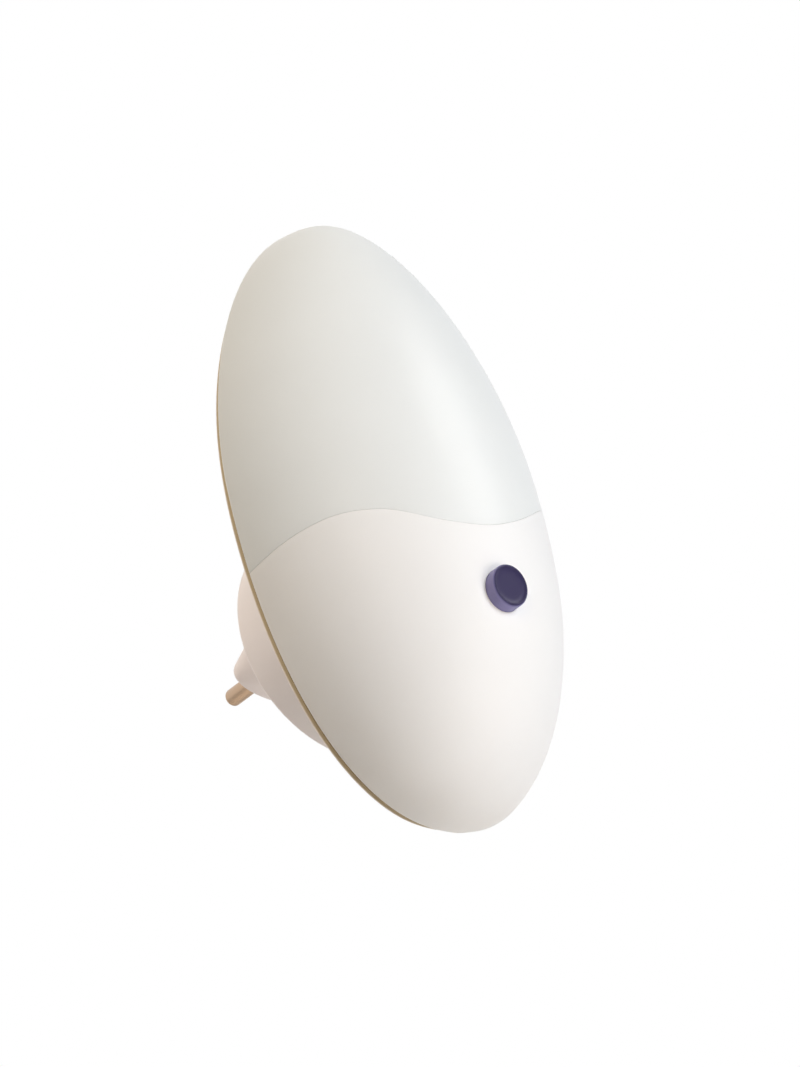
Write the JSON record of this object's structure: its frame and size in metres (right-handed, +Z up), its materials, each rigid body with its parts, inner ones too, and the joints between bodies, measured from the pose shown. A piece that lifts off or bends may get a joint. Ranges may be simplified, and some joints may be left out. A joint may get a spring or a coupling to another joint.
{
  "type": "plug-in night light",
  "caption": "Egg-shaped plug-in wall night light with an opal diffuser over a wavy seam, a lower cover with a dished push button, and a round plug base with two pins.",
  "frame": {"origin": "halfway between the two pins, on the plane where their full diameter begins, 0.6 mm clear of the plug nose's end face", "axes": "+Y along the pins into the socket, -Y into the room, +Z up the long axis of the egg, +X across the pins"},
  "size_m": [0.08, 0.0854, 0.1446],
  "materials": {
    "opal": "opal, translucent, smooth",
    "cover_white": "warm white, smooth",
    "plate_white": "cream, fine satin",
    "plug_white": "cream, fine satin",
    "pin_metal": "plated, smooth",
    "block_grey": "moulded",
    "screw_steel": "zinc plated",
    "clip_brass": "stamped",
    "wire_brown": "insulated",
    "wire_blue": "insulated",
    "board_green": "lacquered laminate",
    "led_clear": "clear resin",
    "reflector_white": "matt white sheet",
    "capacitor_red": "moulded case",
    "can_dark": "sleeved can",
    "resistor_tan": "lacquered",
    "fuse_glass": "clear tube",
    "diode_black": "moulded",
    "switch_black": "moulded",
    "terminal_tin": "tinned",
    "plunger_white": "moulded",
    "button_indigo": "smooth, glossy",
    "spring_steel": "drawn wire"
  },
  "bodies": {
    "housing": {"diffuser": "opal", "lower_cover": "cover_white", "back_plate": "plate_white", "plug_base": "plug_white", "left_pin": "pin_metal", "right_pin": "pin_metal", "pin_block": "block_grey", "block_screw": "screw_steel", "pin_clips": "clip_brass", "live_wire": "wire_brown", "neutral_wire": "wire_blue", "circuit_board": "board_green", "leds": "led_clear", "reflector": "reflector_white", "film_capacitor": "capacitor_red", "can_capacitor": "can_dark", "resistors": "resistor_tan", "fuse": "fuse_glass", "rectifier_diodes": "diode_black", "switch_body": "switch_black", "switch_terminals": "terminal_tin", "button_spring": "spring_steel", "housing_screws": "screw_steel", "base_screws": "screw_steel", "board_screws": "screw_steel"},
    "button": {"push_button": "button_indigo", "switch_plunger": "plunger_white"}
  },
  "joints": [
    {"name": "button_press", "type": "slide", "parent": "housing", "child": "button", "axis": [0, 1, 0], "range_m": [0, 0.0018], "stiffness_N_per_m": 600, "deforming": ["button_spring"]}
  ]
}
